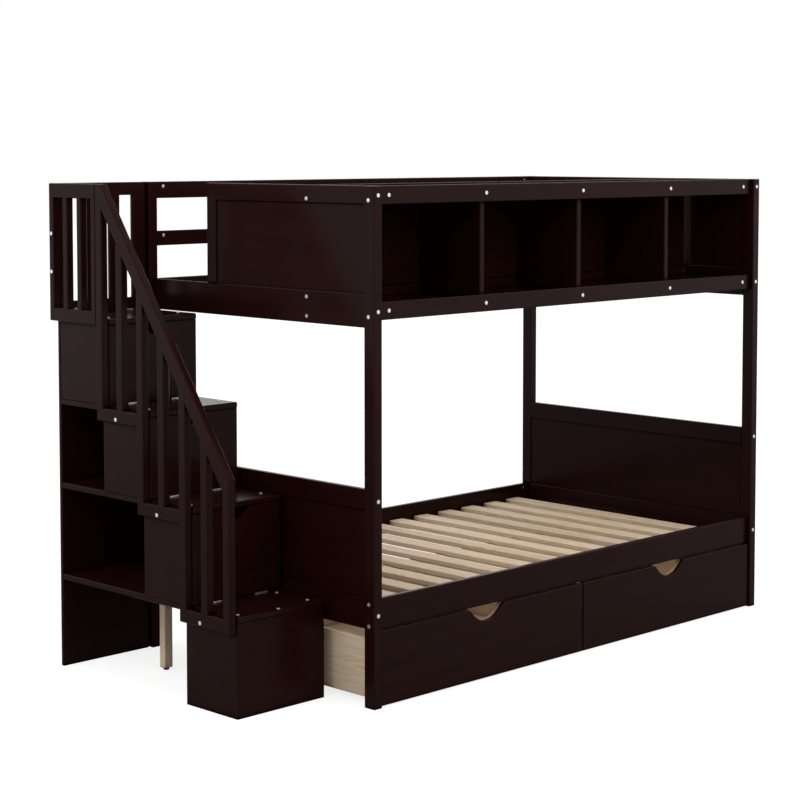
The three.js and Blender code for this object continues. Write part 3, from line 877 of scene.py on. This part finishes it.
class BUNK_OT_finishes(bpy.types.Operator):
    """Lacquer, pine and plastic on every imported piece, with the grain along each board"""

    bl_idname = "bunk.finishes"
    bl_label = "Finishes"

    def execute(self, context):
        finish = context.scene.bunk_finish
        lacquer = {axis: lacquer_material(axis) for axis in "XYZ"}
        bare = {
            axis: wood_material(f"bare_pine_{axis.lower()}", axis, "X", finish.pine, finish.pine_grain)
            for axis in "YZ"
        }
        # The inner fronts take a darker copy of the pine, as painted shade in the drawers' grips.
        bare["X"] = wood_material("inner_front_shaded_x", "X", "Y", finish.inner_front, finish.inner_front_grain)
        plastic = plastic_material()
        steel_material()
        for name, obj in FRAME["nodes"].items():
            if "wheel" in name or name == "stair_foot":
                material = plastic
            elif name in BARE_GRAIN:
                material = bare[BARE_GRAIN[name]]
            else:
                material = lacquer[self.grain(name)]
            obj.data.materials.clear()
            obj.data.materials.append(material)
        return {"FINISHED"}

    @staticmethod
    def grain(name):
        """The axis that a lacquered piece's grain follows."""
        if name in UPRIGHT_GRAIN:
            return "Z"
        a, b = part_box(name)
        sizes = [b[i] - a[i] for i in range(3)]
        return "XYZ"[sizes.index(max(sizes))]


# ---------------------------------------------------------------- stage

CAMERA_STAND = (-3.850, -4.347)  # from the corner of the staircase's and the drawers' sides
CAMERA_HEADING = math.radians(-45.03)
SENSOR = 36  # width of the camera's sensor in millimetres
OVERHEAD_HEIGHT = 4.2
LAMP_HEIGHT = 3.0  # of the lamps before the drawers and beside the staircase
LAMP_DISTANCE = 2.4  # from the bed to each of those
FRONT_LAMP_SHIFT = 0.3  # from the bed's middle towards its right end
FLOOR_SIZE = 60  # also how far the camera sees
FLOOR_PAINT = 0.30  # grey of the paint, on which the shadow falls
FLOOR_GLOW = 0.80  # with the light on its paint, the floor comes out white
NEAR_GLOW = 0.12  # the floor's glow in glossy reflections beside the bed, kept low there as painted shade of the bed on the floor
NEAR, FAR = 1.5, 13.0  # distances between which that glow grows to the full one


def area_lamp(name, place, aim, size, power):
    """A large soft lamp that points at a place and isn't itself seen in gloss."""
    deselect()
    bpy.ops.object.light_add(type="AREA", location=place)
    lamp = bpy.context.object
    lamp.name = name
    lamp.data.shape = "RECTANGLE"
    lamp.data.size, lamp.data.size_y = size
    lamp.data.energy = power
    lamp.rotation_euler = (Vector(aim) - Vector(place)).to_track_quat("-Z", "Y").to_euler()
    lamp.visible_glossy = False


class BUNK_OT_stage(bpy.types.Operator):
    """White floor and surroundings, soft lamps and the camera"""

    bl_idname = "bunk.stage"
    bl_label = "Stage"

    def execute(self, context):
        self.camera(context.scene)
        self.surroundings(context.scene)
        self.floor()
        stage = context.scene.bunk_stage
        aim = (BED_LOW + BED_HIGH) / 2
        above = (aim.x, aim.y, OVERHEAD_HEIGHT)
        before = (aim.x + FRONT_LAMP_SHIFT, BED_LOW.y - LAMP_DISTANCE, LAMP_HEIGHT)
        beside = (BED_LOW.x - LAMP_DISTANCE, aim.y, LAMP_HEIGHT)
        area_lamp("overhead_lamp", above, aim, (3.0, 3.0), stage.overhead_power)
        area_lamp("front_lamp", before, aim, (2.4, 1.6), stage.front_power)
        area_lamp("side_lamp", beside, aim, (2.0, 1.6), stage.side_power)
        return {"FINISHED"}

    @staticmethod
    def camera(scene):
        """Stands the camera before the corner between the drawers and the staircase."""
        stage = scene.bunk_stage
        deselect()
        place = Vector((BED_LOW.x, BED_LOW.y)) + Vector(CAMERA_STAND)
        bpy.ops.object.camera_add(
            location=(place.x, place.y, stage.camera_height),
            rotation=(math.radians(90) - stage.tilt, 0, CAMERA_HEADING),
        )
        camera = bpy.context.object
        camera.data.sensor_width = SENSOR
        camera.data.lens = stage.lens
        camera.data.shift_y = stage.shift
        camera.data.clip_end = FLOOR_SIZE
        scene.camera = camera
        scene.view_settings.view_transform = "Standard"

    @staticmethod
    def surroundings(scene):
        """A plain white light from all round."""
        scene.world = bpy.data.worlds.new("studio")
        scene.world.use_nodes = True
        graph = Graph(scene.world.node_tree)
        sockets = {"Color": (1, 1, 1, 1), "Strength": scene.bunk_stage.fill}
        light = graph.node("ShaderNodeBackground", sockets)
        graph.node("ShaderNodeOutputWorld", {"Surface": light})

    @staticmethod
    def floor():
        """A white floor that takes the bed's shadow and, in reflections, has painted shade beside the bed.
        """
        deselect()
        bpy.ops.mesh.primitive_plane_add(size=FLOOR_SIZE, location=(0, 0, 0))
        floor = bpy.context.object
        floor.name = "floor"
        material, graph = new_material("white_floor")
        paint = graph.node("ShaderNodeBsdfDiffuse", {"Color": (FLOOR_PAINT, FLOOR_PAINT, FLOOR_PAINT, 1)})
        place = graph.node("ShaderNodeTexCoord", output="Object")
        distance = graph.node("ShaderNodeVectorMath", {0: place}, output="Value", operation="LENGTH")
        far = graph.remap(distance, NEAR, FAR)
        path = {
            ray: graph.node("ShaderNodeLightPath", output=f"Is {ray} Ray")
            for ray in ("Camera", "Glossy", "Transmission")
        }
        # Painted shade: in reflections the floor glows less near the bed than far from it.
        reflected = path["Glossy"] * (NEAR_GLOW + far * (FLOOR_GLOW - NEAR_GLOW))
        shown = (path["Camera"] + path["Transmission"]) * FLOOR_GLOW + reflected
        glow = graph.node("ShaderNodeEmission", {"Strength": shown})
        both = graph.node("ShaderNodeAddShader", {0: paint, 1: glow})
        graph.node("ShaderNodeOutputMaterial", {"Surface": both})
        floor.data.materials.append(material)


# ---------------------------------------------------------------- panel and registration


class BUNK_PT_sidebar(bpy.types.Panel):
    """Lists the steps and the settings that they read"""

    bl_idname = "BUNK_PT_sidebar"
    bl_label = "Staircase Bunk Bed"
    bl_space_type = "VIEW_3D"
    bl_region_type = "UI"
    bl_category = "Bunk Bed"

    def draw(self, context):
        for step in STEPS:
            self.layout.operator(step.bl_idname)
        for group in (context.scene.bunk_finish, context.scene.bunk_fittings, context.scene.bunk_stage):
            box = self.layout.box()
            for name in group.__annotations__:
                box.prop(group, name)


STEPS = (BUNK_OT_stage, BUNK_OT_finishes, BUNK_OT_bolts, BUNK_OT_tread_screws, BUNK_OT_hinges)
SETTINGS = {"bunk_finish": FinishSettings, "bunk_fittings": FittingSettings, "bunk_stage": StageSettings}
CLASSES = (*SETTINGS.values(), *STEPS, BUNK_PT_sidebar)


def register():
    for cls in CLASSES:
        bpy.utils.register_class(cls)
    for name, group in SETTINGS.items():
        setattr(bpy.types.Scene, name, PointerProperty(type=group))


def unregister():
    for name in SETTINGS:
        delattr(bpy.types.Scene, name)
    for cls in reversed(CLASSES):
        bpy.utils.unregister_class(cls)


def main():
    """Builds everything round the frame."""
    register()
    bpy.ops.bunk.stage()
    bpy.ops.bunk.finishes()
    bpy.ops.bunk.bolts()
    bpy.ops.bunk.tread_screws()
    bpy.ops.bunk.hinges()
    deselect()


if __name__ == "__main__":
    main()
